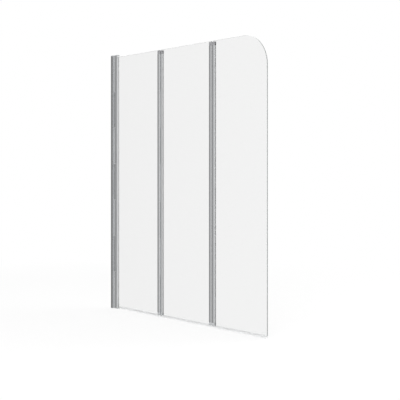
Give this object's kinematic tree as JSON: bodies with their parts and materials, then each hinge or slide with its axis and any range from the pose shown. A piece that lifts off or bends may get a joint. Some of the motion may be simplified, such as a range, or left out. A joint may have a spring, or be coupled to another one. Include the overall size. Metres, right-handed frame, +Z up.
{
  "type": "folding bath screen",
  "caption": "Frameless glass bath screen on a wall profile: it swings in over the bath and folds up like a concertina on full-height hinges.",
  "frame": {"origin": "middle of the lower end of the wall profile's back face: the wall's plane, the glass's middle plane and the bath rim's level meet there", "axes": "+X along the opened screen, out from the wall to the free edge; +Z up; +Y towards the inside of the bath"},
  "size_m": [1.2, 0.033, 1.4],
  "materials": {
    "profile": "bright anodised, drawn lengthwise",
    "steel": "stainless, ground",
    "cover": "silver-grey, satin",
    "wall_cap": "moulded, light grey",
    "fold_cap": "moulded, dark grey",
    "washer": "natural nylon",
    "gasket": "soft, translucent grey",
    "strip": "soft, grey",
    "seal": "clear flexible extrusion",
    "glass": "clear toughened, polished edges"
  },
  "bodies": {
    "wall": {"wall_profile": "profile", "wall_post": "profile", "post_lock_screws": "steel", "lock_screw_caps": "cover", "wall_top_cap": "wall_cap", "post_foot": "wall_cap", "wall_hinge_rod": "steel", "wall_hinge_washers": "washer"},
    "panel_1": {"wall_leaf": "profile", "wall_leaf_gasket": "gasket", "wall_leaf_caps": "wall_cap", "glass_1": "glass", "drip_seal_1": "seal", "fold_1_inner_leaf": "profile", "fold_1_inner_gasket": "gasket", "fold_1_inner_caps": "fold_cap", "fold_1_rod": "steel", "fold_1_washers": "washer", "fold_1_strip": "strip"},
    "panel_2": {"fold_1_outer_leaf": "profile", "fold_1_outer_gasket": "gasket", "fold_1_outer_caps": "fold_cap", "glass_2": "glass", "drip_seal_2": "seal", "fold_2_inner_leaf": "profile", "fold_2_inner_gasket": "gasket", "fold_2_inner_caps": "fold_cap", "fold_2_rod": "steel", "fold_2_washers": "washer", "fold_2_strip": "strip"},
    "panel_3": {"fold_2_outer_leaf": "profile", "fold_2_outer_gasket": "gasket", "fold_2_outer_caps": "fold_cap", "glass_3": "glass", "drip_seal_3": "seal"}
  },
  "joints": [
    {"name": "wall_swing", "type": "hinge", "parent": "wall", "child": "panel_1", "pos_m": [0.03, 0, 0], "axis": [0, 0, 1], "range_deg": [0, 90]},
    {"name": "fold_1", "type": "hinge", "parent": "panel_1", "child": "panel_2", "pos_m": [0.429, -0.011, 0], "axis": [0, 0, 1], "range_deg": [-180, 0]},
    {"name": "fold_2", "type": "hinge", "parent": "panel_2", "child": "panel_3", "pos_m": [0.831, 0.011, 0], "axis": [0, 0, 1], "range_deg": [0, 180]}
  ]
}
